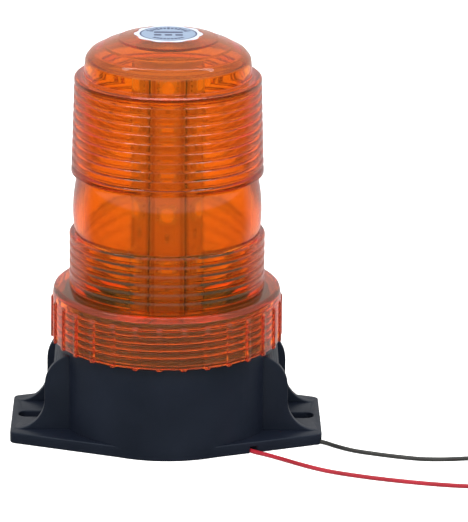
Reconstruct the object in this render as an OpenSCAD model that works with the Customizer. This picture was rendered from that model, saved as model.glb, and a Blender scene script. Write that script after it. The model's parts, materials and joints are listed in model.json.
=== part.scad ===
// Screw-lens LED warning beacon with a two-ear base and a pair of bare leads.
// Millimetres. +Z is up, -Y is the front, and the underside of the base is z = 0.

/* [Base] */
// Overall length across the two mounting ears
ear_span = 95; // [90:1:110]
// Width of each ear
ear_w = 35.2; // [30:0.2:40]
// Thickness of the mounting plate
plate_t = 3.5; // [3:0.5:5]
// Outer radius of the base drum
drum_r = 32.6; // [31:0.1:33]
// Height of the base drum, up to the step where its neck starts
drum_h = 31; // [28:0.5:31]
// Distance between the centres of the two mounting slots
slot_spacing = 80; // [78:1:84]
// Width of each mounting slot
slot_w = 5.2; // [4:0.2:6]
// Overall length of each mounting slot
slot_l = 11; // [8:0.5:11.5]

/* [Screw thread] */
// Rise of the lens for each full turn
thread_lead = 2.2; // [2.1:0.1:2.5]
// Radius of the base neck between the thread lugs
neck_r = 31.2; // [30.8:0.1:31.3]
// Radial height of a thread lug
thread_h = 1.4; // [1:0.1:1.4]

/* [Lens] */
// Height of the top of the dome
dome_top = 124.2; // [120:0.2:130]
// Outer radius of the plain drum under the dome
cap_r = 25.2; // [24:0.1:25.5]
// Outer radius of the ribbed skirt
skirt_r = 34.85; // [34.6:0.05:36]
// Number of vertical grip ribs round the skirt
grip_count = 30; // [12:2:36]
// Number of ribs in the upper band
upper_ribs = 11; // [6:1:13]
// Number of ribs in the lower band
lower_ribs = 6; // [4:1:8]

/* [Lamp] */
// Outer width of each of the six strip faces
strip_w = 11; // [9:0.1:11.4]
// Number of LEDs on each strip
leds_per_strip = 5; // [3:1:6]
// Height of the lowest LED
first_led_z = 56.7; // [50:0.1:58]
// Distance from one LED to the next
led_pitch = 13.33; // [8:0.01:13.4]

/* [Leads] */
// Outer diameter of each insulated lead
lead_d = 1.3; // [1:0.1:1.3]
// Length of bare tinned wire at the end of each lead
tip_l = 6; // [4:1:8]

/* [Hidden] */
$fn = 96;
eps = 0.01;

// base
ear_corner_r = 2.2;
floor_z = 5.5;
floor_t = 2.5;
floor_top = floor_z + floor_t;
cavity_r = 29.5;
bowl_r = 28.6;
neck_top = 41.8;
gusset_y = 14.1;
gusset_t = 2.5;
gusset_x = 37;
gusset_cx = 26.8;
gusset_cz = 17.4;
hood_x = 34.2;
hood_t = 2.4;
groove_w = 2.4;
groove_h = 2.2;

// thread: lugs on the neck and inside the lens share one lead and stay thread_gap apart
thread_gap = 0.4;
thread_z0 = 32.4;
thread_turns = 4;
lugs_per_turn = 8;
lug_angle = 36;
lug_root_w = 0.8;
lug_crest_w = 0.4;
lug_bite = 0.3;

// lens
wall = 2;
cap_z0 = 111.9;
cap_z1 = 117.5;
upper_z0 = 81.4;
upper_r0 = 29.2;
upper_r1 = 28.2;
band_z0 = 63.2;
band_r_top = 27.2;
band_r_mid = 28.6;
band_r_low = 28.1;
lower_z0 = 46.2;
lower_r = 29.75;
rib_depth = 0.7;
lower_rib_depth = 0.45;
lip_r = 2;
shoulder_z = 46.2;
shoulder_under = 43.8;
skirt_in_r = neck_r + thread_h + thread_gap;
skirt_z0 = 29.8;
grip_w = 1.9;
grip_out = 0.65;
grip_phase = 266.5;
seal_d = 2;
seal_r = 29.9;

// lamp
strip_t = 1.2;
strip_gap = 0.12;
apothem = strip_w / 2 / tan(30);
board_z = 12;
board_t = 1.6;
board_top = board_z + board_t;
board_r = 27.8;
strip_top = 113.5;
tab_w = 3;
led_w = 5;
led_h = 1.6;
led_window_d = 4;
led_window_t = 0.2;
screw_ring = 24.5;
screw_angles = [30, 150, 270];
post_r = 3.2;
screw_d = 2.6;
screw_l = 6.6;

// leads
exit_x = [18.6, 21.4];
exit_y = -10;
lead_sides = 8;
tip_d = 0.9;
lead_z = lead_d / 2;
grommet_bore = 1.7;
grommet_hole = 7;
grommet_flange = 9;

// Routes from the driver board, through the grommet and a groove, and out along the ground
red_route = [
    [18.6, -10, 12], [18.6, -10, 8], [18.6, -10, 5.25], [18.65, -10.35, 3.5], [18.8, -11.35, 2],
    [19, -12.85, 1.05], [19.6, -15, 0.7], [22, -19.6, 0.65], [26, -24.6, 0.65],
    [31, -28.2, 0.65], [36, -32.3, 0.65], [42, -37.2, 0.65], [48, -41.3, 0.65],
    [55, -44.6, 0.65], [63, -47.6, 0.65], [71, -50, 0.65], [79, -52, 0.65], [87, -53.4, 0.65],
    [95, -54, 0.65], [103, -54, 0.65], [111, -53.4, 0.65], [119, -52.2, 0.65], [126, -50.6, 0.65]
];
black_route = [
    [21.4, -10, 12], [21.4, -10, 8], [21.4, -10, 5.25], [21.75, -10.05, 3.5], [22.75, -10.25, 2],
    [24.2, -10.55, 1.05], [26.4, -11, 0.7], [31, -12, 0.65], [37, -13.4, 0.65],
    [43, -14.7, 0.65], [48, -16.6, 0.65], [52, -20.2, 0.65], [57, -23.8, 0.65],
    [63, -26.4, 0.65], [70, -28.9, 0.65], [77, -30.7, 0.65], [84, -30.9, 0.65], [91, -30, 0.65],
    [99, -28.4, 0.65], [107, -26.4, 0.65], [115, -24.2, 0.65], [122, -22, 0.65]
];

// ---------- helpers ----------

// Points on an arc in the plane, from angle a0 to a1 in n steps
function arc(cx, cy, r, a0, a1, n) =
    [for (i = [0:n]) let (a = a0 + (a1 - a0) * i / n) [cx + r * cos(a), cy + r * sin(a)]];

// A smooth curve through route points: two rings for each stretch
function spline(a, b, c, d, t) =
    0.5 * ((2 * b) + (c - a) * t + (2 * a - 5 * b + 4 * c - d) * t * t
        + (3 * b - a - 3 * c + d) * t * t * t);
function smooth_route(p) =
    let (n = len(p))
    [for (i = [0:n - 2], h = [0, 0.5])
        spline(p[max(i - 1, 0)], p[i], p[i + 1], p[min(i + 2, n - 1)], h), p[n - 1]];
function unit(v) = v / norm(v);
function heading(p, i) = unit(p[min(i + 1, len(p) - 1)] - p[max(i - 1, 0)]);
function side_of(t, last) = unit(last - (last * t) * t);
function sides(p, i = 0, last = [1, 0.1, 0]) =
    i == len(p) ? [] : let (s = side_of(heading(p, i), last)) concat([s], sides(p, i + 1, s));

// A closed tube of diameter d along the points p
module tube(p, d) {
    n = lead_sides;
    side = sides(p);
    points = [for (i = [0:len(p) - 1], k = [0:n - 1])
        let (t = heading(p, i), u = side[i], v = cross(t, u), a = 360 * k / n)
        p[i] + d / 2 * (u * cos(a) + v * sin(a))];
    walls = [for (i = [0:len(p) - 2], k = [0:n - 1])
        [i * n + k, i * n + (k + 1) % n, (i + 1) * n + (k + 1) % n, (i + 1) * n + k]];
    caps = [[for (k = [n - 1:-1:0]) k], [for (k = [0:n - 1]) (len(p) - 1) * n + k]];
    polyhedron(points, concat(caps, walls), convexity = 10);
}

// An interrupted screw thread: level lugs from r_root to r_crest, stepped along one helix
module thread_lugs(r_root, r_crest, z0) {
    step = 360 / lugs_per_turn;
    for (i = [0:round(thread_turns * lugs_per_turn) - 1])
        rotate([0, 0, step * i - lug_angle / 2]) translate([0, 0, z0 + thread_lead * i / lugs_per_turn])
            rotate_extrude(angle = lug_angle) polygon([
                [r_root, -lug_root_w / 2], [r_crest, -lug_crest_w / 2],
                [r_crest, lug_crest_w / 2], [r_root, lug_root_w / 2]
            ]);
}

// A straight bar of width w and height h on the ground from point a to point b
module groove_bar(a, b, w, h) {
    d = b - a;
    translate([a[0], a[1], -eps]) rotate([0, 0, atan2(d[1], d[0])])
        translate([0, -w / 2, 0]) cube([norm(d), w, h + eps]);
}

module at_screws() {
    for (a = screw_angles) translate([screw_ring * cos(a), screw_ring * sin(a), 0]) children();
}

// ---------- base ----------

// Outline of the plate: the drum's circle and the two ears, joined by straight tangents
module plate_outline() {
    cx = ear_span / 2 - ear_corner_r;
    cy = ear_w / 2 - ear_corner_r;
    reach = norm([cx, cy]);
    tangent = atan2(cy, cx) + acos((drum_r - ear_corner_r) / reach);
    corner = concat(arc(cx, cy, ear_corner_r, 0, tangent, 6), [drum_r * [cos(tangent), sin(tangent)]]);
    circle(drum_r);
    for (sx = [-1, 1], sy = [-1, 1]) scale([sx, sy]) polygon(concat([[0, 0], [ear_span / 2, 0]], corner));
}

module mounting_slot() {
    run = slot_l - slot_w;
    for (s = [-1, 1]) translate([s * run / 2, 0, -eps]) cylinder(d = slot_w, h = plate_t + 2 * eps, $fn = 48);
    translate([-run / 2, -slot_w / 2, -eps]) cube([run, slot_w, plate_t + 2 * eps]);
}

// Side view of a gusset: a rounded top, an upright edge and a hollow sweep down to the ear
module gusset_profile() {
    sweep_r = ear_span / 2 - gusset_x - 1.1;
    polygon(concat(
        [[20, 1], [20, 27.5]],
        arc(gusset_cx, gusset_cz, gusset_x - gusset_cx, 75, 0, 12),
        arc(gusset_x + sweep_r, plate_t + sweep_r, sweep_r, 180, 270, 10),
        [[gusset_x + sweep_r, 1]]
    ));
}

module gussets() {
    for (sx = [-1, 1], sy = [-1, 1]) scale([sx, sy, 1])
        translate([0, gusset_y, 0]) rotate([90, 0, 0]) linear_extrude(gusset_t) gusset_profile();
}

// A web between each pair of gussets that follows the top of their rounded profile
module hoods() {
    r = gusset_x - gusset_cx;
    outer = arc(gusset_cx, gusset_cz, r, 75, acos((hood_x - gusset_cx) / r), 4);
    inner = [for (i = [4:-1:0]) outer[i] - [0, hood_t]];
    for (sx = [-1, 1]) scale([sx, 1, 1])
        translate([0, gusset_y - 1, 0]) rotate([90, 0, 0]) linear_extrude(2 * gusset_y - 2)
            polygon(concat(outer, inner));
}

module base_housing() {
    color([0.14, 0.16, 0.2]) difference() {
        union() {
            linear_extrude(plate_t) plate_outline();
            gussets();
            hoods();
            cylinder(r = drum_r, h = drum_h);
            cylinder(r = neck_r, h = neck_top);
            thread_lugs(neck_r - lug_bite, neck_r + thread_h, thread_z0);
        }
        difference() {
            translate([0, 0, floor_top]) cylinder(r = bowl_r, h = neck_top);
            at_screws() cylinder(r = post_r, h = board_z);
        }
        translate([0, 0, -eps]) cylinder(r = cavity_r, h = floor_z + eps);
        at_screws() translate([0, 0, floor_z + 1]) cylinder(d = screw_d + 0.1, h = board_z, $fn = 32);
        translate([(exit_x[0] + exit_x[1]) / 2, exit_y, 0])
            cylinder(d = grommet_hole, h = floor_top + 1, $fn = 48);
        for (s = [-1, 1]) translate([s * slot_spacing / 2, 0, 0]) mounting_slot();
        groove_bar([19, -17.5], [30, -28], groove_w, groove_h);
        groove_bar([26, -11], [ear_span / 2 + 1, -16], groove_w, groove_h);
    }
}

// ---------- lens ----------

// One rib's outline from its top down: a short ledge, a plain face and a slope back to the next groove
function rib(r0, r1, z, pitch, depth) = [
    [r0 - depth, z - 0.08 * pitch], [r0 - 0.12, z - 0.24 * pitch], [r0, z - 0.34 * pitch],
    [r1, z - 0.72 * pitch], [r1 - 0.12, z - 0.82 * pitch], [r1 - depth, z - 0.96 * pitch]
];
function upper_r(k) = upper_r1 + (upper_r0 - upper_r1) * k / upper_ribs;
function dome_outer() = [
    [0, dome_top], [10.6, dome_top], [12.2, dome_top - 0.2], [15, dome_top - 1], [15.3, dome_top - 1.35],
    [19.6, dome_top - 2.95], [19.9, dome_top - 3.35], [22, dome_top - 4.35], [23.8, dome_top - 5.4],
    [24.6, dome_top - 6], [25.05, cap_z1], [cap_r, cap_z1 - 0.9]
];
function band_bulge(r_top, r_mid, r_low, n) = [for (i = [1:n - 1])
    let (t = i / n, z = upper_z0 + (band_z0 - upper_z0) * t)
    [r_top * (1 - t) * (1 - 2 * t) + r_mid * 4 * t * (1 - t) + r_low * t * (2 * t - 1), z]];

function lens_outer() = concat(
    dome_outer(),
    [[cap_r + 0.1, cap_z0 + 0.4], [cap_r + 0.5, cap_z0]],
    [for (k = [0:upper_ribs - 1])
        let (p = (cap_z0 - upper_z0) / upper_ribs)
        each rib(upper_r(k), upper_r(k + 1), cap_z0 - k * p, p, rib_depth)],
    [[band_r_top, upper_z0]],
    band_bulge(band_r_top, band_r_mid, band_r_low, 10),
    [[band_r_low, band_z0]],
    [for (k = [0:lower_ribs - 1])
        let (p = (band_z0 - lower_z0) / lower_ribs)
        each rib(lower_r, lower_r, band_z0 - k * p, p, lower_rib_depth)],
    [[lower_r - 0.2, shoulder_z]],
    arc(skirt_r - lip_r - 0.15, shoulder_z - lip_r - 0.2, lip_r, 84, 0, 6),
    [[skirt_r, shoulder_z - lip_r - 1], [skirt_r + 0.1, skirt_z0 + 0.3], [skirt_r - 0.1, skirt_z0]]
);

// Inside of the lens, from the bottom of the skirt up to the dome
function lens_inner() = concat(
    [[skirt_in_r + 0.2, skirt_z0], [skirt_in_r, skirt_z0 + 0.6], [skirt_in_r, shoulder_under]],
    [[27, shoulder_under], [27, shoulder_z - 0.6]],
    [for (k = [lower_ribs - 1:-1:0])
        let (p = (band_z0 - lower_z0) / lower_ribs, z = band_z0 - k * p)
        each [[27.2, z - 0.85 * p], [26.6, z - 0.2 * p]]],
    [[25.6, band_z0 + 0.6]],
    [for (i = [5:-1:0])
        let (t = i / 6, z = upper_z0 - 0.6 + (band_z0 - upper_z0 + 1.2) * t)
        [25.6 - 0.7 * 4 * t * (1 - t), z]],
    [[26.4, upper_z0 + 1], [upper_r1 - rib_depth - 1.7, cap_z0 - 2.2]],
    [[cap_r - wall + 0.4, cap_z0 - 1.8], [cap_r - wall, cap_z0 - 1.2], [cap_r - wall, cap_z1 - 1.4]],
    [[21.6, dome_top - 6.9], [18.6, dome_top - 4.9], [14, dome_top - 3], [9, dome_top - wall],
        [0, dome_top - wall]]
);

module grip_ribs() {
    h = shoulder_z - lip_r - 1.2 - skirt_z0;
    for (k = [0:grip_count - 1]) rotate([0, 0, grip_phase + 360 * k / grip_count])
        translate([skirt_r - 0.8, -grip_w / 2, skirt_z0 - 0.4])
            linear_extrude(h) polygon([
                [0, 0], [0.8, 0], [0.8 + grip_out, 0.35], [0.8 + grip_out, grip_w - 0.35], [0.8, grip_w], [0, grip_w]
            ]);
}

module lens() {
    color([0.95, 0.42, 0.05, 0.75]) union() {
        rotate_extrude() polygon(concat(lens_outer(), lens_inner()));
        grip_ribs();
        thread_lugs(skirt_in_r + lug_bite, neck_r + thread_gap, thread_z0 + thread_lead / 2);
    }
}

module lens_seal() {
    color([0.12, 0.12, 0.12]) translate([0, 0, neck_top + seal_d / 2])
        rotate_extrude() translate([seal_r, 0]) circle(d = seal_d, $fn = 32);
}

// Thin round sticker with a wavy edge, on the flat top of the dome
module lens_sticker() {
    lobes = 10;
    steps = 8 * lobes;
    color([0.82, 0.87, 0.93]) translate([0, 0, dome_top])
        linear_extrude(0.15) polygon([for (i = [0:steps - 1])
            let (a = 360 * i / steps, r = 10 + 0.35 * cos(lobes * a)) [r * cos(a), r * sin(a)]]);
}

// ---------- lamp ----------

module led_strip(k) {
    inner = (apothem - strip_t) * tan(30) - strip_gap;
    outer = strip_w / 2 - strip_gap;
    color([0.93, 0.93, 0.9]) rotate([0, 0, 60 * (k - 1)]) {
        translate([0, 0, board_top]) linear_extrude(strip_top - board_top) polygon([
            [-outer, -apothem], [outer, -apothem], [inner, strip_t - apothem], [-inner, strip_t - apothem]
        ]);
        translate([-tab_w / 2, -apothem, board_z - 0.8]) cube([tab_w, strip_t, board_t + 0.8]);
    }
}

module led() {
    difference() {
        translate([-led_w / 2, -led_h, -led_w / 2]) cube([led_w, led_h, led_w]);
        rotate([90, 0, 0]) translate([0, 0, led_h - led_window_t])
            cylinder(d = led_window_d, h = 1, $fn = 32);
    }
}

module leds(k) {
    color([0.98, 0.8, 0.35]) rotate([0, 0, 60 * (k - 1)])
        for (i = [0:leds_per_strip - 1]) translate([0, -apothem, first_led_z + i * led_pitch]) led();
}

// Six-sided board that closes the top of the tower and joins the strips
module tower_top_board() {
    across = (apothem - strip_t - 0.1) / cos(30);
    color([0.9, 0.9, 0.86]) translate([0, 0, strip_top - board_t]) difference() {
        cylinder(r = across, h = board_t, $fn = 6);
        translate([0, 0, -1]) cylinder(d = 3, h = 4, $fn = 32);
    }
}

module driver_board() {
    color([0.1, 0.4, 0.22]) difference() {
        translate([0, 0, board_z]) cylinder(r = board_r, h = board_t);
        at_screws() cylinder(d = screw_d + 0.4, h = 40, $fn = 32);
        for (k = [0:5]) rotate([0, 0, 60 * k])
            translate([-tab_w / 2 - 0.1, -apothem - 0.1, board_z - 1]) cube([tab_w + 0.2, strip_t + 0.2, 4]);
        for (x = exit_x) translate([x, exit_y, board_z - 1]) cylinder(d = 1, h = 4, $fn = 24);
    }
}

module board_screws() {
    color([0.78, 0.78, 0.8]) at_screws() difference() {
        union() {
            translate([0, 0, board_top - screw_l]) cylinder(d = screw_d, h = screw_l, $fn = 32);
            translate([0, 0, board_top]) cylinder(d = 5, h = 1, $fn = 32);
            translate([0, 0, board_top + 1]) cylinder(d1 = 5, d2 = 3.8, h = 0.8, $fn = 32);
        }
        for (a = [0, 90]) rotate([0, 0, a])
            translate([-1.4, -0.25, board_top + 0.9]) cube([2.8, 0.5, 2]);
    }
}

// Solder under the board, on both faces of each strip's tab
module tower_solder_joints() {
    color([0.75, 0.76, 0.78]) for (k = [0:5]) rotate([0, 0, 60 * k])
        for (s = [0, 1]) translate([0, -apothem + s * strip_t, board_z]) mirror([0, 1 - s, 0])
            rotate([90, 0, 90]) linear_extrude(tab_w - 0.4, center = true)
                polygon([[0, 0], [0.9, 0], [0.35, -0.35], [0, -0.75]]);
}

// ---------- driver components ----------

module can_capacitor(d, h) {
    cylinder(d = d, h = 1.2);
    translate([0, 0, 1.2]) cylinder(d = d - 0.5, h = 0.8);
    translate([0, 0, 2]) cylinder(d = d, h = h - 2.4);
    translate([0, 0, h - 0.4]) cylinder(d = d - 0.7, h = 0.4);
}

module input_capacitor() {
    color([0.12, 0.13, 0.16]) translate([20, 2, board_top]) can_capacitor(10, 15);
}

module output_capacitor() {
    color([0.15, 0.22, 0.4]) translate([-19.5, -4, board_top]) can_capacitor(8, 12);
}

module power_inductor() {
    color([0.3, 0.3, 0.32]) translate([-15, 17, board_top]) {
        cylinder(d = 9, h = 1.4);
        translate([0, 0, 1.4]) cylinder(d = 7.4, h = 5.2);
        translate([0, 0, 6.6]) cylinder(d = 9, h = 1.4);
    }
}

// A flat moulded package with n legs on each of its two long sides
module chip_package(l, w, h, n, leg_w, leg_out) {
    pitch = l / n;
    translate([-l / 2, -w / 2, 0.1]) cube([l, w, h]);
    for (i = [0:n - 1], s = [-1, 1]) translate([-l / 2 + (i + 0.5) * pitch, 0, 0])
        scale([1, s, 1]) translate([-leg_w / 2, w / 2 - 0.1, 0]) cube([leg_w, leg_out + 0.1, 0.25]);
}

module bridge_rectifier() {
    color([0.1, 0.1, 0.11]) translate([13, -19.5, board_top]) rotate([0, 0, 35])
        chip_package(8, 6.4, 2.4, 2, 1.1, 1.2);
}

module driver_chip() {
    color([0.1, 0.1, 0.11]) translate([1, 19, board_top]) chip_package(4.9, 3.9, 1.5, 4, 0.42, 1);
}

module switch_transistor() {
    color([0.1, 0.1, 0.11]) translate([-9.5, -18.5, board_top]) rotate([0, 0, -25]) {
        chip_package(6.6, 6.1, 2.3, 3, 0.8, 1.6);
        translate([-2.7, 2.9, 0]) cube([5.4, 1.8, 0.5]);
    }
}

module flyback_diode() {
    color([0.12, 0.12, 0.13]) translate([12, 17.5, board_top]) rotate([0, 0, -30])
        chip_package(2.6, 4.3, 2.1, 1, 1.5, 0.5);
}

// A ceramic chip part with a raised metal cap at each end
module chip_part(l, w, h) {
    translate([-l / 2 + 0.3, -w / 2 + 0.05, 0]) cube([l - 0.6, w - 0.1, h - 0.05]);
    for (s = [-1, 1]) translate([s * (l / 2 - 0.2) - 0.2, -w / 2, 0]) cube([0.4, w, h]);
}

module chip_resistors() {
    color([0.2, 0.2, 0.22]) for (p = [[6, 14], [-5, 14.5], [-3, -15], [3.5, -15], [-14.5, 9], [14.5, 9], [-23, 4]])
        translate([p[0], p[1], board_top]) chip_part(2, 1.25, 0.55);
}

module chip_capacitors() {
    color([0.65, 0.5, 0.35]) for (p = [[6.5, 22], [-6, 21.5], [5, -20], [-16, -14.5]])
        translate([p[0], p[1], board_top]) rotate([0, 0, 90]) chip_part(2, 1.25, 0.9);
}

// ---------- leads ----------

module lead_grommet() {
    color([0.08, 0.08, 0.08]) difference() {
        translate([(exit_x[0] + exit_x[1]) / 2, exit_y, 0]) {
            translate([0, 0, floor_z]) cylinder(d = grommet_hole, h = floor_t, $fn = 48);
            translate([0, 0, floor_z - 1]) cylinder(d = grommet_flange, h = 1, $fn = 48);
            translate([0, 0, floor_top]) cylinder(d1 = grommet_flange, d2 = grommet_hole, h = 1.2, $fn = 48);
        }
        for (x = exit_x) translate([x, exit_y, 0]) cylinder(d = grommet_bore, h = 20, $fn = 24);
    }
}

module lead_solder_joints() {
    color([0.75, 0.76, 0.78]) for (x = exit_x) translate([x, exit_y, 0]) {
        translate([0, 0, board_z]) cylinder(d = 1, h = board_t, $fn = 24);
        translate([0, 0, board_top]) cylinder(d1 = 2.2, d2 = 0.9, h = 0.9, $fn = 24);
    }
}

module red_lead() {
    color([0.8, 0.15, 0.2]) tube(smooth_route(red_route), lead_d);
}

module black_lead() {
    color([0.12, 0.12, 0.12]) tube(smooth_route(black_route), lead_d);
}

// Bare tinned strands that carry on straight from a lead's end
module lead_tip(route) {
    p = smooth_route(route);
    end = p[len(p) - 1];
    way = heading(p, len(p) - 1);
    color([0.78, 0.78, 0.76]) translate(end) rotate([0, 0, atan2(way[1], way[0])]) rotate([0, 90, 0])
        cylinder(d = tip_d, h = tip_l, $fn = 24);
}

module red_lead_tip() {
    lead_tip(red_route);
}

module black_lead_tip() {
    lead_tip(black_route);
}

base_housing();
lens();
lens_seal();
lens_sticker();
led_strip(1);  // led_strip_1
led_strip(2);  // led_strip_2
led_strip(3);  // led_strip_3
led_strip(4);  // led_strip_4
led_strip(5);  // led_strip_5
led_strip(6);  // led_strip_6
leds(1);  // leds_1
leds(2);  // leds_2
leds(3);  // leds_3
leds(4);  // leds_4
leds(5);  // leds_5
leds(6);  // leds_6
tower_top_board();
driver_board();
board_screws();
tower_solder_joints();
input_capacitor();
output_capacitor();
power_inductor();
bridge_rectifier();
driver_chip();
switch_transistor();
flyback_diode();
chip_resistors();
chip_capacitors();
lead_grommet();
lead_solder_joints();
red_lead();
black_lead();
red_lead_tip();
black_lead_tip();
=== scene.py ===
"""Looks for the amber LED warning beacon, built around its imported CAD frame.

Metres, +Z up, -Y is the front. The lens, the base, the sticker and the two leads are remade in fine
mesh. The strips, boards and driver parts are the CAD nodes with better materials, and each strip gets
small added details. Shapes are written in millimetres, and make_piece turns them into metres.
"""

import json
import math

import bmesh
import bpy
from mathutils import Matrix, Vector


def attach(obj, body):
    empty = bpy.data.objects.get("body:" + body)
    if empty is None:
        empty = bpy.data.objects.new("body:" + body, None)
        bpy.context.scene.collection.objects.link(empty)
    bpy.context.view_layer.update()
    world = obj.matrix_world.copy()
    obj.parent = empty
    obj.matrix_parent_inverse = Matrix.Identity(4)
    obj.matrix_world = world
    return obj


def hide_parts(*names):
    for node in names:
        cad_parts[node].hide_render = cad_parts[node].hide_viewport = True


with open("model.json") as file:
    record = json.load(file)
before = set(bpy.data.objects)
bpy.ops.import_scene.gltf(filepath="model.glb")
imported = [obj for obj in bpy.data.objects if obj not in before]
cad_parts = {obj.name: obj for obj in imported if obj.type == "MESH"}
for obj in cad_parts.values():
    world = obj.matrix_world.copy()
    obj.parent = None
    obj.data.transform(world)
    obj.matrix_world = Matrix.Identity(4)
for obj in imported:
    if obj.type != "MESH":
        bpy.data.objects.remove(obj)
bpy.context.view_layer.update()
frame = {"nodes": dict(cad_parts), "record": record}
nodes = frame["nodes"]

MM = 0.001

# ---------------------------------------------------------------- camera and cords

CAMERA_AIM = (0.0204, 0.0, 0.0533)
CAMERA_DISTANCE = 1.154
CAMERA_PITCH = 17.4
CAMERA_ROLL = 0.67
CAMERA_TURN = 1.1
CAMERA_LENS = 261.2
CAMERA_SENSOR = 36
CAMERA_CLIP = (0.01, 200)

LEAD_D = 1.3 * MM
LEAD_STEPS = 6
LEAD_SIDES = 14
END_SHARE = 0.86
END_ROUND = 0.14
LEAD_ROUTE = {
    "red": [
        (18.6, -10, 12), (18.6, -10, 8), (18.6, -10, 5.25), (18.65, -10.35, 3.5),
        (18.8, -11.35, 2), (19, -12.85, 1.05), (19.6, -15, 0.7), (22, -19.6, 0.65),
        (26, -24.6, 0.65), (31, -28.2, 0.65), (36, -32.3, 0.65), (42, -37.2, 0.65),
        (48, -41.3, 0.65), (55, -44.6, 0.65), (63, -47.6, 0.65), (71, -50, 0.65), (79, -52, 0.65),
        (87, -53.4, 0.65), (95, -54, 0.65), (103, -54, 0.65), (111, -53.4, 0.65),
        (119, -52.2, 0.65), (126, -50.6, 0.65),
    ],
    "black": [
        (21.4, -10, 12), (21.4, -10, 8), (21.4, -10, 5.25), (21.75, -10.05, 3.5),
        (22.75, -10.25, 2), (24.2, -10.55, 1.05), (26.4, -11, 0.7), (31, -12, 0.65),
        (37, -13.4, 0.65), (43, -14.7, 0.65), (48, -16.6, 0.65), (52, -20.2, 0.65),
        (57, -23.8, 0.65), (63, -26.4, 0.65), (70, -28.9, 0.65), (77, -30.7, 0.65),
        (84, -30.9, 0.65), (91, -30, 0.65), (99, -28.4, 0.65), (107, -26.4, 0.65),
        (115, -24.2, 0.65), (122, -22, 0.65),
    ],
}


def add_camera():
    """A long lens in front of the beacon, looking down at it a little."""
    turn = Matrix.Rotation(math.radians(-CAMERA_TURN), 4, "Z")
    tilt = Matrix.Rotation(math.radians(90 - CAMERA_PITCH), 4, "X")
    roll = Matrix.Rotation(math.radians(CAMERA_ROLL), 4, "Z")
    facing = turn @ tilt @ roll
    data = bpy.data.cameras.new("camera")
    data.lens = CAMERA_LENS
    data.sensor_width = CAMERA_SENSOR
    data.clip_start, data.clip_end = CAMERA_CLIP
    camera = bpy.data.objects.new("camera", data)
    aim = turn @ Vector(CAMERA_AIM)
    camera.matrix_world = Matrix.Translation(aim + facing @ Vector((0, 0, CAMERA_DISTANCE))) @ facing
    bpy.context.scene.collection.objects.link(camera)
    bpy.context.scene.camera = camera


def smooth_route(points, steps):
    """Catmull-Rom points through a route, as the CAD tube has them but closer together."""
    p = [Vector(q) for q in points]
    out = []
    for i in range(len(p) - 1):
        a, b, c, d = p[max(i - 1, 0)], p[i], p[i + 1], p[min(i + 2, len(p) - 1)]
        for k in range(steps):
            t = k / steps
            out.append(0.5 * (2 * b + (c - a) * t + (2 * a - 5 * b + 4 * c - d) * t * t
                              + (3 * b - a - 3 * c + d) * t ** 3))
    out.append(p[-1])
    return [q * MM for q in out]


def tube(points, radius, sides):
    """Rings of a round tube along a path, carried from point to point without twist, with round ends."""
    verts, faces = [], []
    ahead = (points[1] - points[0]).normalized()
    side = ahead.orthogonal().normalized()
    last = len(points) - 1
    rings = []
    for i, q in enumerate(points):
        turned = (points[min(i + 1, last)] - points[max(i - 1, 0)]).normalized()
        side = (ahead.rotation_difference(turned) @ side).normalized()
        ahead = turned
        if i == 0:
            rings += [(q, ahead, side, END_SHARE), (q + ahead * radius * END_ROUND, ahead, side, 1)]
        elif i == last:
            rings += [(q - ahead * radius * END_ROUND, ahead, side, 1), (q, ahead, side, END_SHARE)]
        else:
            rings.append((q, ahead, side, 1))
    for q, ahead, side, share in rings:
        up = ahead.cross(side)
        for k in range(sides):
            a = 2 * math.pi * k / sides
            verts.append(q + (side * math.cos(a) + up * math.sin(a)) * radius * share)
    for i in range(len(rings) - 1):
        for k in range(sides):
            j = (k + 1) % sides
            faces.append((i * sides + k, i * sides + j, (i + 1) * sides + j, (i + 1) * sides + k))
    faces += [tuple(range(sides))[::-1], tuple(range(len(verts) - sides, len(verts)))]
    return verts, faces


def add_lead(colour):
    """One insulated lead, which rides the base as a cord."""
    points = smooth_route(LEAD_ROUTE[colour], LEAD_STEPS)
    verts, faces = tube(points, LEAD_D / 2, LEAD_SIDES)
    mesh = bpy.data.meshes.new(f"{colour}_lead_wire")
    mesh.from_pydata(verts, [], faces)
    mesh.polygons.foreach_set("use_smooth", [len(face) == 4 for face in faces])
    wire = bpy.data.objects.new(f"{colour}_lead_wire", mesh)
    bpy.context.scene.collection.objects.link(wire)
    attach(wire, "base")
    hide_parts(f"{colour}_lead")
    return wire


add_camera()
leads = {colour: add_lead(colour) for colour in LEAD_ROUTE}

# ---------------------------------------------------------------- material helpers


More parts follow.
